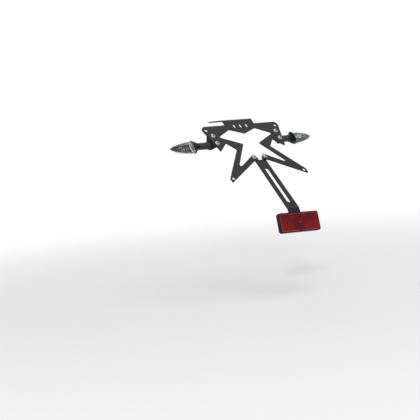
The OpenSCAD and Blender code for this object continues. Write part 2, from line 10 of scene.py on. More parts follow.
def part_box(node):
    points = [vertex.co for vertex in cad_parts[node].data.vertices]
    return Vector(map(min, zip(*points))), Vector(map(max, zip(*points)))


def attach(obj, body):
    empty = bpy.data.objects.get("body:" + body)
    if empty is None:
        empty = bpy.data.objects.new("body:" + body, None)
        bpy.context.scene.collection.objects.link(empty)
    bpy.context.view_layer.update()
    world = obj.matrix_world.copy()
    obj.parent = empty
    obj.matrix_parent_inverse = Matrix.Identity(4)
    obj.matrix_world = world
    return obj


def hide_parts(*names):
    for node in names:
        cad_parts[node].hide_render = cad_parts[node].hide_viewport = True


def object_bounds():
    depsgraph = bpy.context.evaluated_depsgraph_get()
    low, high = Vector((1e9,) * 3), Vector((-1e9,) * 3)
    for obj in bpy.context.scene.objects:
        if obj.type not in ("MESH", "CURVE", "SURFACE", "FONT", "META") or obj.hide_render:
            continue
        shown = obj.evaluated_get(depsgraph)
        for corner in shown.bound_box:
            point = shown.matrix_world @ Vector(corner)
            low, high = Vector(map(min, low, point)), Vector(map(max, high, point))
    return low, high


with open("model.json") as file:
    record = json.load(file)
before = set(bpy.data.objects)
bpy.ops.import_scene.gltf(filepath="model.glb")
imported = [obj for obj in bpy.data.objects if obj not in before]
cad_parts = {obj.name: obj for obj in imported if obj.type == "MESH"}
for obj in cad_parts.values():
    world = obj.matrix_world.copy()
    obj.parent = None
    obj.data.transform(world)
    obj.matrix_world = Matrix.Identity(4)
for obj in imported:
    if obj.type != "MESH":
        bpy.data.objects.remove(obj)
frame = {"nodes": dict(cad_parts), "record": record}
cad_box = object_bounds()
scene = bpy.context.scene

# Camera
# A long lens stands well behind the carrier and to its left, about as high as the
# indicators, and leans slightly. Its place is in metres from the centre of the mounting
# slots.
camera_data = bpy.data.cameras.new("camera")
camera_data.sensor_width = 36
camera_data.lens = 62.14
camera = bpy.data.objects.new("camera", camera_data)
scene.collection.objects.link(camera)
camera_right = Vector((0.8171, -0.5702, -0.0852))
camera_up = Vector((0.1265, 0.0331, 0.9914))
camera_up = (camera_up - camera_right * camera_up.dot(camera_right)).normalized()
camera_back = camera_right.cross(camera_up).normalized()
camera.matrix_world = Matrix.Translation((-0.8191, -1.1102, -0.0292)) @ Matrix(
    (camera_right, camera_up, camera_back)
).transposed().to_4x4()
scene.camera = camera

# Folded sheets
# The carrier, the two indicator brackets and the drop arm are laser cut steel, folded, and
# tumbled so that their edges are just broken. Powder coat covers them: a fine satin black
# skin with a slight orange peel, smoother along the edges, and a touch darker there as
# painted shade.
edge_break = 0.00022
weld = 0.000002
flat_within = math.radians(1)
straight_within = math.radians(5)
nodes = frame["nodes"]


def shader_material(name):
    """A new material, with its node tree and its Principled BSDF."""
    material = bpy.data.materials.new(name)
    material.use_nodes = True
    return material, material.node_tree, material.node_tree.nodes["Principled BSDF"]


def new_group(name, inputs, outputs):
    """A shader node group of these named sockets, and its input and output nodes."""
    group = bpy.data.node_groups.new(name, "ShaderNodeTree")
    for label, kind, value in inputs:
        socket = group.interface.new_socket(label, in_out="INPUT", socket_type=kind)
        socket.default_value = value
    for label, kind in outputs:
        group.interface.new_socket(label, in_out="OUTPUT", socket_type=kind)
    return group, group.nodes.new("NodeGroupInput"), group.nodes.new("NodeGroupOutput")


def use_group(tree, group, **values):
    """A node of this group in a material, with its inputs set by name."""
    node = tree.nodes.new("ShaderNodeGroup")
    node.node_tree = group
    for label, value in values.items():
        node.inputs[label.replace("_", " ")].default_value = value
    return node


def feed(tree, socket, given):
    """Links another node's output to an input, or sets the input to a plain value."""
    if isinstance(given, bpy.types.NodeSocket):
        tree.links.new(given, socket)
    else:
        socket.default_value = given


def maths(tree, operation, *given, clamp=False):
    """The result of a Math node on these outputs and numbers."""
    node = tree.nodes.new("ShaderNodeMath")
    node.operation = operation
    node.use_clamp = clamp
    for socket, value in zip(node.inputs, given):
        feed(tree, socket, value)
    return node.outputs[0]


def scaled(tree, colour, amount):
    """A colour times an amount."""
    node = tree.nodes.new("ShaderNodeVectorMath")
    node.operation = "SCALE"
    feed(tree, node.inputs[0], colour)
    feed(tree, node.inputs["Scale"], amount)
    return node.outputs[0]


def build_mottle():
    """Two scales of noise on Object coordinates, for a shade, a roughness and a height."""
    tree, source, result = new_group(
        "mottle",
        [
            ("Colour", "NodeSocketColor", (0.1, 0.1, 0.1, 1)),
            ("Shade", "NodeSocketFloat", 0.1),
            ("Patch Scale", "NodeSocketFloat", 40.0),
            ("Grain Scale", "NodeSocketFloat", 2500.0),
            ("Roughness", "NodeSocketFloat", 0.45),
            ("Roughness Swing", "NodeSocketFloat", 0.1),
        ],
        [
            ("Colour", "NodeSocketColor"),
            ("Roughness", "NodeSocketFloat"),
            ("Height", "NodeSocketFloat"),
        ],
    )
    given = source.outputs
    place = tree.nodes.new("ShaderNodeTexCoord")
    patch = tree.nodes.new("ShaderNodeTexNoise")
    patch.inputs["Detail"].default_value = 3
    grain = tree.nodes.new("ShaderNodeTexNoise")
    grain.inputs["Detail"].default_value = 1
    for noise, label in ((patch, "Patch Scale"), (grain, "Grain Scale")):
        tree.links.new(place.outputs["Object"], noise.inputs["Vector"])
        tree.links.new(given[label], noise.inputs["Scale"])
    centred = maths(tree, "MULTIPLY_ADD", patch.outputs["Fac"], 2, -1)
    shade = maths(tree, "MULTIPLY_ADD", centred, given["Shade"], 1)
    rough = maths(tree, "MULTIPLY_ADD", centred, given["Roughness Swing"], given["Roughness"])
    tree.links.new(scaled(tree, given["Colour"], shade), result.inputs["Colour"])
    tree.links.new(rough, result.inputs["Roughness"])
    tree.links.new(grain.outputs["Fac"], result.inputs["Height"])
    return tree


mottle = build_mottle()


def mottled(name, colour, roughness, shade=0.1, swing=0.06, grain=2500, height=0.00001,
            metallic=0.0, coat=0.0, patch=40, gleam=0.5):
    """A material whose colour, roughness and fine relief vary a little over the surface."""
    material, tree, bsdf = shader_material(name)
    skin = use_group(tree, mottle, Colour=(*colour, 1), Shade=shade, Patch_Scale=patch,
                     Grain_Scale=grain, Roughness=roughness, Roughness_Swing=swing)
    bump = tree.nodes.new("ShaderNodeBump")
    bump.inputs["Strength"].default_value = 0.6
    bump.inputs["Distance"].default_value = height
    tree.links.new(skin.outputs["Colour"], bsdf.inputs["Base Color"])
    tree.links.new(skin.outputs["Roughness"], bsdf.inputs["Roughness"])
    tree.links.new(skin.outputs["Height"], bump.inputs["Height"])
    tree.links.new(bump.outputs["Normal"], bsdf.inputs["Normal"])
    bsdf.inputs["Metallic"].default_value = metallic
    bsdf.inputs["Coat Weight"].default_value = coat
    bsdf.inputs["Coat Roughness"].default_value = 0.05
    bsdf.inputs["Specular IOR Level"].default_value = gleam
    return material


def link_piece(name, mesh, *materials):
    """An object of this mesh in the scene, with its materials."""
    piece = bpy.data.objects.new(name, mesh)
    scene.collection.objects.link(piece)
    for material in materials:
        piece.data.materials.append(material)
    return piece


def finish_piece(piece, slot, *replaced):
    """Turns what the modifiers make into a plain mesh, hangs the piece on the root body, and
    hides the CAD nodes it replaces.
    """
    shown = piece.evaluated_get(bpy.context.evaluated_depsgraph_get())
    mesh = bpy.data.meshes.new_from_object(shown)
    piece.modifiers.clear()
    piece.data = mesh
    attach(piece, "root")
    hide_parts(*replaced)
    return piece


def broken_edges(node, name, slot, face_material, edge_material, width):
    """A CAD node's own shape with its sharp edges broken, in two materials."""
    work = bmesh.new()
    work.from_mesh(nodes[node].data)
    bmesh.ops.remove_doubles(work, verts=work.verts, dist=weld)
    bmesh.ops.dissolve_limit(
        work, angle_limit=flat_within, verts=work.verts, edges=work.edges
    )
    between = [v for v in work.verts
               if len(v.link_edges) == 2 and v.calc_edge_angle() < straight_within]
    bmesh.ops.dissolve_verts(work, verts=between)
    mesh = bpy.data.meshes.new(name)
    work.to_mesh(mesh)
    work.free()
    for face in mesh.polygons:
        face.use_smooth = True
        face.material_index = 0
    mesh.set_sharp_from_angle(angle=math.radians(35))
    piece = link_piece(name, mesh, face_material, edge_material)
    bevel = piece.modifiers.new("broken edges", "BEVEL")
    bevel.width = width
    bevel.segments = 2
    bevel.limit_method = "ANGLE"
    bevel.angle_limit = math.radians(50)
    bevel.material = 1
    bevel.harden_normals = True
    bevel.use_clamp_overlap = True
    return finish_piece(piece, slot, node)


powder_face = mottled("powder coat", (0.0145, 0.0145, 0.0165), 0.46, shade=0.4, swing=0.1,
                      grain=1100, height=0.00007, gleam=0.18, patch=60)
# The edge material is a touch darker than the face, as painted shade.
powder_edge_painted_shade = mottled("powder coat edge painted shade", (0.012, 0.012, 0.013), 0.42, shade=0.15,
                      gleam=0.12)
for node, name, slot in (
    ("plate_carrier", "carrier_sheet", "sheet_black"),
    ("bracket_left", "left_bracket_sheet", "bracket_black"),
    ("bracket_right", "right_bracket_sheet", "bracket_black"),
    ("drop_arm", "drop_arm_sheet", "sheet_black"),
):
    broken_edges(node, name, slot, powder_face, powder_edge_painted_shade, edge_break)

# Bolts and nuts
# Button head bolts and thin nuts of bright zinc plated steel hold the brackets and the arm.
# A bolt's dome ends in a flat rim round its hexagon socket, whose inside is painted near
# black as painted shade, and its rolled thread shows past the nut.
plate_mount = next(m for m in frame["record"]["mounts"] if m["name"] == "plate_holes_top")
sheet_out = Vector(plate_mount["axis"])
sheet_up = sheet_out.cross(Vector((1, 0, 0)))
sheet_turn = Matrix((Vector((1, 0, 0)), sheet_up, sheet_out)).transposed()
shank_d = 0.005
head_h = 0.0022
key = 0.003
thread_len = 0.0045
nut_bore_r = 0.00255


def solids_of(node, turn):
    """The low and high corners of each loose solid of a node, in the turned axes."""
    work = bmesh.new()
    work.from_mesh(nodes[node].data)
    bmesh.ops.remove_doubles(work, verts=work.verts, dist=weld)
    work.transform(turn.transposed().to_4x4())
    unseen = set(work.verts)
    found = []
    while unseen:
        stack = [unseen.pop()]
        corners = [stack[0].co.copy(), stack[0].co.copy()]
        while stack:
            vert = stack.pop()
            for k in range(3):
                corners[0][k] = min(corners[0][k], vert.co[k])
                corners[1][k] = max(corners[1][k], vert.co[k])
            for edge in vert.link_edges:
                other = edge.other_vert(vert)
                if other in unseen:
                    unseen.discard(other)
                    stack.append(other)
        found.append(corners)
    work.free()
    return sorted(found, key=lambda c: (c[0].x, c[0].y))


def lathe(profile, sides):
    """A closed mesh of revolution about z, from (radius, height) points, pole to pole."""
    work = bmesh.new()
    rings = []
    for radius, height in profile:
        angles = [2 * math.pi * k / sides for k in range(sides)] if radius > 0 else [0]
        rings.append([
            work.verts.new((radius * math.cos(a), radius * math.sin(a), height))
            for a in angles
        ])
    for low, high in zip(rings, rings[1:]):
        for k in range(sides):
            n = (k + 1) % sides
            if len(low) == 1:
                work.faces.new((low[0], high[n], high[k]))
            elif len(high) == 1:
                work.faces.new((low[k], low[n], high[0]))
            else:
                work.faces.new((low[k], low[n], high[n], high[k]))
    bmesh.ops.recalc_face_normals(work, faces=work.faces)
    mesh = bpy.data.meshes.new("turned")
    work.to_mesh(mesh)
    work.free()
    for face in mesh.polygons:
        face.use_smooth = True
    return mesh


zinc = mottled("bright zinc", (0.305, 0.31, 0.325), 0.38, shade=0.12, swing=0.08,
               grain=1800, height=0.000004, metallic=1.0)
# The socket's inside is painted near black, as painted shade in its recess.
zinc_socket_painted_shade = mottled("socket", (0.02, 0.02, 0.021), 0.6, metallic=0.5)


def thread_profile(radius, pitch, low, high):
    """The outline of a thread between two heights, from the lower one up."""
    count = max(1, int((high - low) / pitch))
    step = (high - low) / count
    depth = pitch * 0.55
    points = []
    for k in range(count):
        points += [(radius - depth, low + k * step), (radius, low + (k + 0.45) * step),
                   (radius, low + (k + 0.6) * step)]
    return points + [(radius - depth, high)]


def hexagon_r(flats, angle):
    """How far a hexagon reaches at an angle from the middle of one of its flats."""
    turn = (angle + math.pi / 6) % (math.pi / 3) - math.pi / 6
    return flats / 2 / math.cos(turn)


def bolt_mesh(head_d, grip):
    """A button head bolt, its head's seat at z = 0 and its thread pointing down.

    Its socket is turned round first, and its wall is then moved out to a hexagon."""
    pitch = 0.0008
    tip_chamfer = 0.0003
    seat_chamfer = 0.0001
    edge_share = 0.12
    rim_share = 1.12
    floor_share = 0.35
    socket_r = key / 2 / math.cos(math.pi / 6)
    rim_r = socket_r * rim_share
    rim_angle = math.acos(rim_r / (head_d / 2))
    dome = []
    for k in range(7):
        a = rim_angle * k / 6
        rise = math.sin(a) / math.sin(rim_angle)
        height = head_h * (edge_share + (1 - edge_share) * rise)
        dome.append((head_d / 2 * math.cos(a), height))
    profile = [(0, -grip), (shank_d / 2 - pitch, -grip)]
    profile += thread_profile(shank_d / 2, pitch, tip_chamfer - grip, thread_len - grip)
    profile += [(shank_d / 2, thread_len - grip), (shank_d / 2, 0)]
    profile += [(head_d / 2 - seat_chamfer, 0)]
    floor = head_h * floor_share
    profile += dome + [(socket_r, head_h), (socket_r, floor), (0, floor)]
    mesh = lathe(profile, 36)
    in_socket = set()
    for vert in mesh.vertices:
        reach = math.hypot(vert.co.x, vert.co.y)
        if vert.co.z < floor * 0.99 or reach > socket_r * 1.01:
            continue
        in_socket.add(vert.index)
        if reach > 0:
            wall = hexagon_r(key, math.atan2(vert.co.y, vert.co.x))
            vert.co.x *= wall / reach
            vert.co.y *= wall / reach
    mesh.update()
    mesh.set_sharp_from_angle(angle=math.radians(32))
    inside = mesh.attributes.new("socket", "BOOLEAN", "FACE")
    for face in mesh.polygons:
        inside.data[face.index].value = in_socket.issuperset(face.vertices)
    return mesh


def nut_mesh(flats, height, bore_r):
    """A thin nut below z = 0 with chamfered corners and a plain bore."""
    corner = flats / 2 / math.cos(math.pi / 6)
    work = bmesh.new()
    sides = 48
    rings = []
    chamfer = (corner - flats / 2) * 0.6
    for kind, level in (
        ("bore", -height), ("face", -height), ("corner", -height + chamfer),
        ("corner", -chamfer), ("face", 0), ("bore", 0),
    ):
        ring = []
        for k in range(sides):
            a = 2 * math.pi * k / sides
            edge = hexagon_r(flats, a)
            face_r = min(edge, flats / 2 * 0.99)
            radius = {"bore": bore_r, "face": face_r, "corner": edge}[kind]
            ring.append(work.verts.new((radius * math.cos(a), radius * math.sin(a), level)))
        rings.append(ring)
    for low, high in zip(rings, rings[1:] + rings[:1]):
        for k in range(sides):
            n = (k + 1) % sides
            work.faces.new((low[k], low[n], high[n], high[k]))
    bmesh.ops.recalc_face_normals(work, faces=work.faces)
    mesh = bpy.data.meshes.new("nut")
    work.to_mesh(mesh)
    work.free()
    for face in mesh.polygons:
        face.use_smooth = True
    mesh.set_sharp_from_angle(angle=math.radians(25))
    return mesh


def build_scatter():
    """Geometry Nodes: one pattern at each point, on a given lean, each turned its own way.

    Faces marked as a socket take a material of their own, painted near black as shade."""
    tree = bpy.data.node_groups.new("fasteners on points", "GeometryNodeTree")
    for label, kind in (
        ("Geometry", "Geometry"), ("Pattern", "Object"), ("Lean", "Vector"),
        ("Spread", "Float"), ("Seed", "Int"), ("Material", "Material"),
        ("Socket Material", "Material"),
    ):
        tree.interface.new_socket(label, in_out="INPUT", socket_type="NodeSocket" + kind)
    tree.interface.new_socket(
        "Geometry", in_out="OUTPUT", socket_type="NodeSocketGeometry"
    )
    source = tree.nodes.new("NodeGroupInput")
    result = tree.nodes.new("NodeGroupOutput")
    pattern = tree.nodes.new("GeometryNodeObjectInfo")
    spin = tree.nodes.new("FunctionNodeRandomValue")
    spin.data_type = "FLOAT"
    spin_vector = tree.nodes.new("ShaderNodeCombineXYZ")
    place = tree.nodes.new("GeometryNodeInstanceOnPoints")
    turn = tree.nodes.new("GeometryNodeRotateInstances")
    real = tree.nodes.new("GeometryNodeRealizeInstances")
    paint = tree.nodes.new("GeometryNodeSetMaterial")
    marked = tree.nodes.new("GeometryNodeInputNamedAttribute")
    marked.data_type = "BOOLEAN"
    marked.inputs["Name"].default_value = "socket"
    paint_marked = tree.nodes.new("GeometryNodeSetMaterial")
    links = tree.links
    links.new(source.outputs["Pattern"], pattern.inputs["Object"])
    links.new(source.outputs["Geometry"], place.inputs["Points"])
    links.new(pattern.outputs["Geometry"], place.inputs["Instance"])
    links.new(source.outputs["Lean"], place.inputs["Rotation"])
    links.new(source.outputs["Spread"], spin.inputs[3])
    links.new(source.outputs["Seed"], spin.inputs["Seed"])
    links.new(spin.outputs[1], spin_vector.inputs["Z"])
    links.new(place.outputs["Instances"], turn.inputs["Instances"])
    links.new(spin_vector.outputs[0], turn.inputs["Rotation"])
    links.new(turn.outputs["Instances"], real.inputs["Geometry"])
    links.new(real.outputs["Geometry"], paint.inputs["Geometry"])
    links.new(source.outputs["Material"], paint.inputs["Material"])
    links.new(paint.outputs["Geometry"], paint_marked.inputs["Geometry"])
    links.new(marked.outputs["Attribute"], paint_marked.inputs["Selection"])
    links.new(source.outputs["Socket Material"], paint_marked.inputs["Material"])
    links.new(paint_marked.outputs["Geometry"], result.inputs["Geometry"])
    return tree


scatter = build_scatter()


def set_inputs(modifier, **values):
    """Sets a Geometry Nodes modifier's named inputs by their sockets' identifiers."""
    for item in modifier.node_group.interface.items_tree:
        label = item.name.replace(" ", "_")
        if item.in_out == "INPUT" and label in values:
            modifier[item.identifier] = values[label]


def put_fasteners(name, node, places, pattern_mesh, spread, seed):
    """Copies of one fastener at these places, as one piece that stands for the node."""
    pattern = link_piece(name + "_pattern", pattern_mesh, zinc)
    points = bpy.data.meshes.new(name)
    points.from_pydata([tuple(p) for p in places], [], [])
    piece = link_piece(name, points)
    modifier = piece.modifiers.new("fasteners", "NODES")
    modifier.node_group = scatter
    set_inputs(modifier, Pattern=pattern, Lean=tuple(sheet_turn.to_euler()), Spread=spread,
               Seed=seed, Material=zinc, Socket_Material=zinc_socket_painted_shade)
    finish_piece(piece, "zinc_steel", node)
    bpy.data.objects.remove(pattern)


def bolts_from(node, name, seed):
    """Bolts for every solid of a node, sized by those solids."""
    solids = solids_of(node, sheet_turn)
    low, high = solids[0]
    head_d = high.x - low.x
    seat = high.z - head_h
    mesh = bolt_mesh(head_d, seat - low.z)
    places = [
        sheet_turn @ Vector(((a.x + b.x) / 2, (a.y + b.y) / 2, seat)) for a, b in solids
    ]
    put_fasteners(name, node, places, mesh, 1.0, seed)


def nuts_from(node, name, seed):
    """Thin nuts for every solid of a node, sized by those solids."""
    solids = solids_of(node, sheet_turn)
    low, high = solids[0]
    mesh = nut_mesh(high.x - low.x, high.z - low.z, nut_bore_r)
    places = [
        sheet_turn @ Vector(((a.x + b.x) / 2, (a.y + b.y) / 2, high.z)) for a, b in solids
    ]
    put_fasteners(name, node, places, mesh, 0.0, seed)


bolts_from("ear_bolts", "ear_button_bolts", 3)
nuts_from("ear_nuts", "ear_thin_nuts", 1)
bolts_from("arm_bolts", "arm_button_bolts", 8)
nuts_from("arm_nuts", "arm_thin_nuts", 1)

# Indicator stems, washers and nuts
# Each indicator hangs on a hollow threaded stem of zinc plated steel, clamped by a washer
# and a nut on the inner side of the bracket. The reflector's stud, washer and nut are made
# alike.
turned_edge = 0.0001
for node in (
    "stem_left", "stem_washer_left", "stem_nut_left",
    "stem_right", "stem_washer_right", "stem_nut_right",
    "reflector_washer", "reflector_nut", "reflector_stud",
):
    broken_edges(node, node + "_turned", "zinc_steel", zinc, zinc, turned_edge)

# Indicator stalks and bodies
# The stalk is a short rubber arm moulded on its stem, and the body is a flared shell of
# gloss black plastic that the lens plugs into. The seam between the two isn't square to the
# axis: one indicator serves both sides, so it leans the same way on each.
rubber = mottled("stalk rubber", (0.03, 0.029, 0.032), 0.6, shade=0.15, swing=0.08,
                 grain=1200, height=0.00003, gleam=0.3)
gloss_black = mottled("gloss black", (0.004, 0.004, 0.005), 0.14, shade=0.1, swing=0.03,
                      grain=900, height=0.000002, gleam=0.16)
lens_len = 0.045
lens_r = 0.0125
seam_lean_up = 0.0045
seam_lean_front = 0.0038
seam_inset = 0.0012
moulded_edge = 0.0001
fine_edge = 0.00005


def lean_seam(piece, side):
    """Shifts what lies round the seam along the axis: out at one edge, in at the other."""
    body_low, body_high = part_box("lamp_body_" + side)
    lens_low, lens_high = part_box("lamp_lens_" + side)
    axis_y = (lens_low[1] + lens_high[1]) / 2
    axis_z = (lens_low[2] + lens_high[2]) / 2
    tip = max(abs(lens_low[0]), abs(lens_high[0]))
    neck = min(abs(body_low[0]), abs(body_high[0]))
    seam = tip - lens_len
    for vert in piece.data.vertices:
        reach = abs(vert.co.x)
        if reach < seam:
            share = max(0, (reach - neck) / (seam - neck))
        else:
            share = max(0, (tip - reach) / lens_len)
        share = share * share * (3 - 2 * share)
        lean = seam_lean_front * (vert.co.y - axis_y) - seam_lean_up * (vert.co.z - axis_z)
        inset = math.copysign(seam_inset, vert.co.x)
        vert.co.x += share * (lean / lens_r - inset)
    piece.data.update()


for side in ("left", "right"):
    broken_edges("stalk_" + side, "stalk_" + side + "_moulding", "stalk_rubber",
                 rubber, rubber, moulded_edge)
    lean_seam(broken_edges("lamp_body_" + side, "lamp_shell_" + side, "lamp_black",
                           gloss_black, gloss_black, moulded_edge), side)
    # The screw's broken edges take the socket's near black, as painted shade.
    lean_seam(broken_edges("lens_screw_" + side, "lens_screw_" + side + "_turned",
                           "zinc_steel", zinc, zinc_socket_painted_shade, fine_edge), side)

# Indicator bowls, boards and diodes
# A vacuum metallised bowl sits round a board with its diodes, and a faceted liner of the
# same finish runs on from it along the front wall of the lens and throws the light back.
# Each facet of the liner is painted light or dark as a painted reflection, round a painted
# highlight patch near its middle.
lens_wall = 0.0018
lens_draft = 0.0002
liner_gap = 0.0002
liner_t = 0.0004
liner_from = 0.01
liner_reach = 0.94
liner_half_turn = 105
nose_power = 2.2
nose_blunt = 0.9
liner_rows = 10
liner_columns = 9
facet_depth = 0.0014
# The painted highlight's place on the liner and its tone, and the share of facets painted
# dark as painted reflections.
painted_glint_row = 0.42
painted_glint_rows = 0.12
painted_glint_column = 0.55
painted_glint_columns = 0.14
painted_glint_tone = 0.85
painted_dark_share = 0.55
back_tone = 0.25
rim_tone = 0.5


def facet_material():
    """Metallised plastic, each facet painted light or dark as a painted reflection."""
    material, tree, bsdf = shader_material("metallised facets")
    facet_painted_reflection = tree.nodes.new("ShaderNodeAttribute")
    facet_painted_reflection.attribute_name = "facet_painted_reflection"
    skin = use_group(tree, mottle, Colour=(0.9, 0.92, 0.95, 1), Shade=0.1, Patch_Scale=300,
                     Grain_Scale=3000, Roughness=0.16, Roughness_Swing=0.05)
    tint = scaled(tree, skin.outputs["Colour"], facet_painted_reflection.outputs["Fac"])
    tree.links.new(tint, bsdf.inputs["Base Color"])
    tree.links.new(skin.outputs["Roughness"], bsdf.inputs["Roughness"])
    bsdf.inputs["Metallic"].default_value = 1.0
    return material


def painted_facet_tone(draw, i, j):
    """A painted highlight patch near the middle of the liner, and about it facets painted
    light and dark as painted reflections.
    """
    lit = draw.random()
    off_row = abs(i / liner_rows - painted_glint_row)
    off_column = abs(j / liner_columns - painted_glint_column)
    if off_row < painted_glint_rows and off_column < painted_glint_columns:
        return painted_glint_tone
    if lit > painted_dark_share:
        return 0.3 + 0.5 * draw.random()
    return 0.04 + 0.14 * draw.random()


def liner_mesh(side, way, seed):
    """A shell along the front wall of the lens: flat facets inside, a smooth back."""
    draw = random.Random(seed)
    lens_low, lens_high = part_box("lamp_lens_" + side)
    axis_y = (lens_low[1] + lens_high[1]) / 2
    axis_z = (lens_low[2] + lens_high[2]) / 2
    seam = max(abs(lens_low[0]), abs(lens_high[0])) - lens_len
    work = bmesh.new()
    facet_painted_reflection = work.faces.layers.float.new("facet_painted_reflection")
    inside = []
    back = []
    for i in range(liner_rows + 1):
        share = liner_from + liner_reach * i / liner_rows
        x = way * (seam + lens_wall + (lens_len - 2 * lens_wall) * share)
        narrowed = (1 - share ** nose_power) ** nose_blunt
        wall = (lens_r - lens_wall - lens_draft) * narrowed - liner_gap
        inside.append([])
        back.append([])
        for j in range(liner_columns + 1):
            a = math.radians(liner_half_turn * (2 * j / liner_columns - 1))
            sunk = facet_depth * ((i + j) % 2 + 0.5 * draw.random()) * wall / lens_r
            rim = i in (0, liner_rows) or j in (0, liner_columns)
            near = wall - liner_t - (0 if rim else sunk)
            for ring, radius in ((inside, near), (back, wall)):
                ring[-1].append(work.verts.new(
                    (x, axis_y + radius * math.cos(a), axis_z + radius * math.sin(a))))
    for i in range(liner_rows):
        for j in range(liner_columns):
            m, n = i + 1, j + 1
            for face in (
                (inside[i][j], inside[i][n], inside[m][n]),
                (inside[i][j], inside[m][n], inside[m][j]),
            ):
                made = work.faces.new(face)
                # Each inner facet takes its painted reflection tone.
                made[facet_painted_reflection] = painted_facet_tone(draw, i, j)
            made = work.faces.new((back[i][j], back[m][j], back[m][n], back[i][n]))
            made[facet_painted_reflection] = back_tone
            made.smooth = True
    edge = [(0, j) for j in range(liner_columns)]
    edge += [(i, liner_columns) for i in range(liner_rows)]
    edge += [(liner_rows, j) for j in range(liner_columns, 0, -1)]
    edge += [(i, 0) for i in range(liner_rows, 0, -1)]
    for (i, j), (m, n) in zip(edge, edge[1:] + edge[:1]):
        made = work.faces.new((inside[i][j], back[i][j], back[m][n], inside[m][n]))
        made[facet_painted_reflection] = rim_tone
    bmesh.ops.recalc_face_normals(work, faces=work.faces)
    mesh = bpy.data.meshes.new("liner")
    work.to_mesh(mesh)
    work.free()
    return mesh


chrome_bowl = mottled("metallised bowl", (0.7, 0.71, 0.73), 0.14, shade=0.1, grain=3000,
                      height=0.000002, metallic=1.0)
facets = facet_material()
board = mottled("lamp board", (0.03, 0.12, 0.06), 0.5, shade=0.3, patch=600)
diode = mottled("amber diode", (0.62, 0.50, 0.26), 0.2, coat=0.5)
for side, way in (("left", -1), ("right", 1)):
    for node, name, slot, material in (
        ("lamp_bowl_", "lamp_bowl_bright_", "bowl_silver", chrome_bowl),
        ("led_board_", "led_board_printed_", "board_green", board),
        ("leds_", "leds_domed_", "led_amber", diode),
    ):
        inner = broken_edges(node + side, name + side, slot, material, material, fine_edge)
        lean_seam(inner, side)
    liner = link_piece("lamp_liner_" + side, liner_mesh(side, way, 5), facets)
    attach(liner, "root")
    lean_seam(liner, side)

# Indicator lenses
# A clear polycarbonate bullet plugs into the body, with low ribs moulded across it. It is
# solid towards the tip, and its colour is made darker towards the tip.
lens_clear_to = 0.140
lens_dark_from = 0.157
lens_tip_tone = 0.16


def ranged(tree, value, low, high, start=0, end=1, smooth=False):
    """A value that runs from start to end, as one that runs from low to high."""
    node = tree.nodes.new("ShaderNodeMapRange")
    node.interpolation_type = "SMOOTHSTEP" if smooth else "LINEAR"
    for label, given in (
        ("Value", value), ("From Min", start), ("From Max", end), ("To Min", low),
        ("To Max", high),
    ):
        feed(tree, node.inputs[label], given)
    return node.outputs["Result"]


clear, tree, bsdf = shader_material("clear lens")
place = tree.nodes.new("ShaderNodeTexCoord")
ribs = tree.nodes.new("ShaderNodeTexWave")
ribs.bands_direction = "X"
ribs.inputs["Scale"].default_value = 45
ribs.inputs["Distortion"].default_value = 1.5
bump = tree.nodes.new("ShaderNodeBump")
bump.inputs["Strength"].default_value = 0.15
bump.inputs["Distance"].default_value = 0.0001
cast = tree.nodes.new("ShaderNodeTexNoise")
cast.inputs["Scale"].default_value = 160
split = tree.nodes.new("ShaderNodeSeparateXYZ")
for node in (ribs, cast, split):
    tree.links.new(place.outputs["Object"], node.inputs["Vector"])
tone = ranged(tree, cast.outputs["Fac"], 0.72, 0.98)
outward = maths(tree, "ABSOLUTE", split.outputs["X"])
to_tip = ranged(tree, outward, 1, lens_tip_tone, lens_clear_to, lens_dark_from)
colour = scaled(tree, (0.95, 0.98, 1.0), maths(tree, "MULTIPLY", tone, to_tip))
tree.links.new(ribs.outputs["Fac"], bump.inputs["Height"])
tree.links.new(colour, bsdf.inputs["Base Color"])
tree.links.new(bump.outputs["Normal"], bsdf.inputs["Normal"])
bsdf.inputs["Roughness"].default_value = 0.04
bsdf.inputs["Transmission Weight"].default_value = 1.0
bsdf.inputs["IOR"].default_value = 1.49
for side in ("left", "right"):
    lean_seam(broken_edges("lamp_lens_" + side, "lens_moulding_" + side, "lens_clear",
                           clear, clear, fine_edge), side)

# Reflector
# A red prismatic reflector in a black plastic tray. The red plate is smooth outside and
# moulded with small cube corners behind, so that it reads as red with a fine cell pattern.
# The red is painted darker in patches, as painted shade where the cube corners catch less
# light.
case_black = mottled("reflector case", (0.005, 0.005, 0.006), 0.35, shade=0.1, grain=900,
                     gleam=0.15)
red_low, red_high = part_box("reflector_lens")
red_middle = Vector((a + b) / 2 for a, b in zip(red_low, red_high))
prisms_per_metre = 400
gate_r = 0.0013
gate_fade_r = 0.0028
tongue_near = 0.010
tongue_far = 0.038
sharp_above = 0.5
seam_width = 0.12
# How the painted shade patches spread, and how much more of it gathers near the tongue.
painted_shade_from = 0.40
painted_shade_to = 0.64
gather = 0.12


def plate_axes(node):
    """The long and the short direction of a flat plate, from its own mesh."""
    work = bmesh.new()
    work.from_mesh(nodes[node].data)
    bmesh.ops.remove_doubles(work, verts=work.verts, dist=weld)
    work.normal_update()
    flat = max(work.faces, key=lambda f: f.calc_area()).normal.copy()
    sharp = [e for e in work.edges
             if len(e.link_faces) == 2 and e.calc_face_angle() > sharp_above]
    ends = max(sharp, key=lambda e: e.calc_length()).verts
    along = (ends[1].co - ends[0].co).normalized()
    work.free()
    return along, flat.cross(along)


def mixed(tree, share, first, second):
    """The first colour, and as much of the second as the share says."""
    node = tree.nodes.new("ShaderNodeMix")
    node.data_type = "RGBA"
    for label, given in (("Factor", share), ("A", first), ("B", second)):
        feed(tree, node.inputs[label], given)
    return node.outputs["Result"]


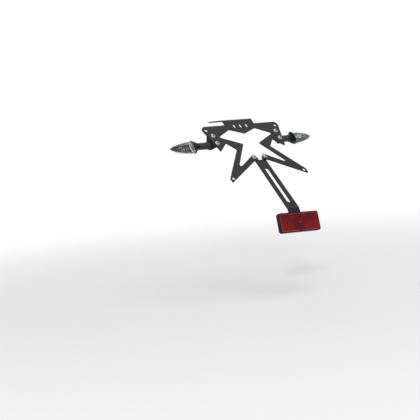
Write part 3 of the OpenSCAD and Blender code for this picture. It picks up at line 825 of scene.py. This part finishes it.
def red_material(name, colour, dark, gleam):
    """Clear red plastic over cube corners: small cells, and patches of painted shade.

    The painted shade gathers in front of the tongue, and the gate leaves a paler spot there."""
    material, tree, bsdf = shader_material(name)
    place = tree.nodes.new("ShaderNodeTexCoord")
    on_plate = tree.nodes.new("ShaderNodeUVMap")
    on_plate.uv_map = "prisms"
    cells = tree.nodes.new("ShaderNodeTexVoronoi")
    seams = tree.nodes.new("ShaderNodeTexVoronoi")
    seams.feature = "DISTANCE_TO_EDGE"
    for pattern in (cells, seams):
        pattern.voronoi_dimensions = "2D"
        pattern.inputs["Scale"].default_value = prisms_per_metre
        pattern.inputs["Randomness"].default_value = 0
        tree.links.new(on_plate.outputs["UV"], pattern.inputs["Vector"])
    cell_tone = ranged(tree, cells.outputs["Color"], 0.85, 1.2)
    seam_tone = ranged(tree, seams.outputs["Distance"], 0.5, 1, 0, seam_width)
    tone = maths(tree, "MULTIPLY", cell_tone, seam_tone)
    off_gate = tree.nodes.new("ShaderNodeVectorMath")
    off_gate.operation = "DISTANCE"
    off_gate.inputs[1].default_value = red_middle
    tree.links.new(place.outputs["Object"], off_gate.inputs[0])
    reach = off_gate.outputs["Value"]
    patches = tree.nodes.new("ShaderNodeTexNoise")
    patches.inputs["Scale"].default_value = 32
    patches.inputs["Detail"].default_value = 1
    tree.links.new(place.outputs["Object"], patches.inputs["Vector"])
    tongue_painted_shade = ranged(tree, reach, gather, -gather, tongue_near, tongue_far)
    painted_shade_amount = maths(tree, "ADD", patches.outputs["Fac"], tongue_painted_shade)
    share = ranged(tree, painted_shade_amount, 0, 1, painted_shade_from, painted_shade_to)
    base = mixed(tree, share, (*colour, 1), (*dark, 1))
    gate = ranged(tree, reach, 1, 0, gate_r, gate_fade_r, smooth=True)
    skin = mixed(tree, gate, scaled(tree, base, tone), (0.36, 0.045, 0.055, 1))
    tree.links.new(skin, bsdf.inputs["Base Color"])
    bsdf.inputs["Roughness"].default_value = 0.22
    bsdf.inputs["Specular IOR Level"].default_value = gleam
    return material


red = red_material("reflector red", (0.26, 0.004, 0.010), (0.11, 0.003, 0.007), 0.12)
# The rim's red is painted lighter along the bevel, as a painted highlight.
red_rim_painted_highlight = red_material("reflector red rim painted highlight", (0.45, 0.09, 0.10), (0.30, 0.05, 0.06), 0.5)
tray_edge = 0.0004
plate_edge = 0.0009
broken_edges("reflector_housing", "reflector_tray", "case_black", case_black, case_black,
             tray_edge)
red_plate = broken_edges("reflector_lens", "reflector_red_plate", "lens_red", red, red_rim_painted_highlight,
                         plate_edge)
along, across = plate_axes("reflector_lens")
prisms = red_plate.data.uv_layers.new(name="prisms")
for loop in red_plate.data.loops:
    spot = red_plate.data.vertices[loop.vertex_index].co - red_middle
    prisms.data[loop.index].uv = (spot.dot(along), spot.dot(across))

# Studio
# The object hangs over a round sheet of pale paper, which carries its shadow and fades into
# a white surround, under a wide soft lamp overhead, one by the camera and one in front.
scene.view_settings.view_transform = "Standard"
low, high = cad_box
middle = (low + high) / 2
floor_drop = 0.10
floor_r = 6.0
fade_from = 0.35
fade_to = 1.2
work = bmesh.new()
bmesh.ops.create_circle(work, cap_ends=True, segments=96, radius=floor_r)
bmesh.ops.translate(work, verts=work.verts, vec=(middle.x, middle.y, low.z - floor_drop))
floor_mesh = bpy.data.meshes.new("floor")
work.to_mesh(floor_mesh)
work.free()
paper, tree, bsdf = shader_material("paper")
bsdf.inputs["Base Color"].default_value = (0.86, 0.86, 0.86, 1)
bsdf.inputs["Roughness"].default_value = 0.9
bsdf.inputs["Specular IOR Level"].default_value = 0.1


def seen_rays(tree):
    """1 for the rays by which the surround is seen, directly, in gloss or through glass."""
    path = tree.nodes.new("ShaderNodeLightPath")
    total = path.outputs["Is Camera Ray"]
    for label in ("Is Glossy Ray", "Is Transmission Ray"):
        total = maths(tree, "ADD", total, path.outputs[label], clamp=True)
    return total


place = tree.nodes.new("ShaderNodeTexCoord")
away = tree.nodes.new("ShaderNodeVectorMath")
away.operation = "LENGTH"
tree.links.new(place.outputs["Object"], away.inputs[0])
fade = ranged(tree, away.outputs["Value"], 0, 1, fade_from, fade_to, smooth=True)
white = tree.nodes.new("ShaderNodeEmission")
blend = tree.nodes.new("ShaderNodeMixShader")
tree.links.new(maths(tree, "MULTIPLY", fade, seen_rays(tree)), blend.inputs[0])
tree.links.new(bsdf.outputs[0], blend.inputs[1])
tree.links.new(white.outputs[0], blend.inputs[2])
tree.links.new(blend.outputs[0], tree.nodes["Material Output"].inputs["Surface"])
link_piece("floor", floor_mesh, paper)

world = bpy.data.worlds.new("studio")
world.use_nodes = True
scene.world = world
tree = world.node_tree
background = tree.nodes["Background"]
background.inputs["Color"].default_value = (1, 1, 1, 1)
tree.links.new(ranged(tree, seen_rays(tree), 0.5, 1), background.inputs["Strength"])


def soft_lamp(name, place, size, power):
    """A square area lamp at a place, facing the object."""
    data = bpy.data.lights.new(name, "AREA")
    data.size = size
    data.energy = power
    lamp = bpy.data.objects.new(name, data)
    scene.collection.objects.link(lamp)
    lamp.location = place
    lamp.rotation_euler = (middle - Vector(place)).to_track_quat("-Z", "Y").to_euler()


soft_lamp("overhead", (0.3, -0.4, 1.6), 1.6, 12)
soft_lamp("beside the camera", (-1.3, -1.6, 1.0), 0.35, 10)
soft_lamp("from the front", (0.8, 1.2, 0.8), 1.2, 6)
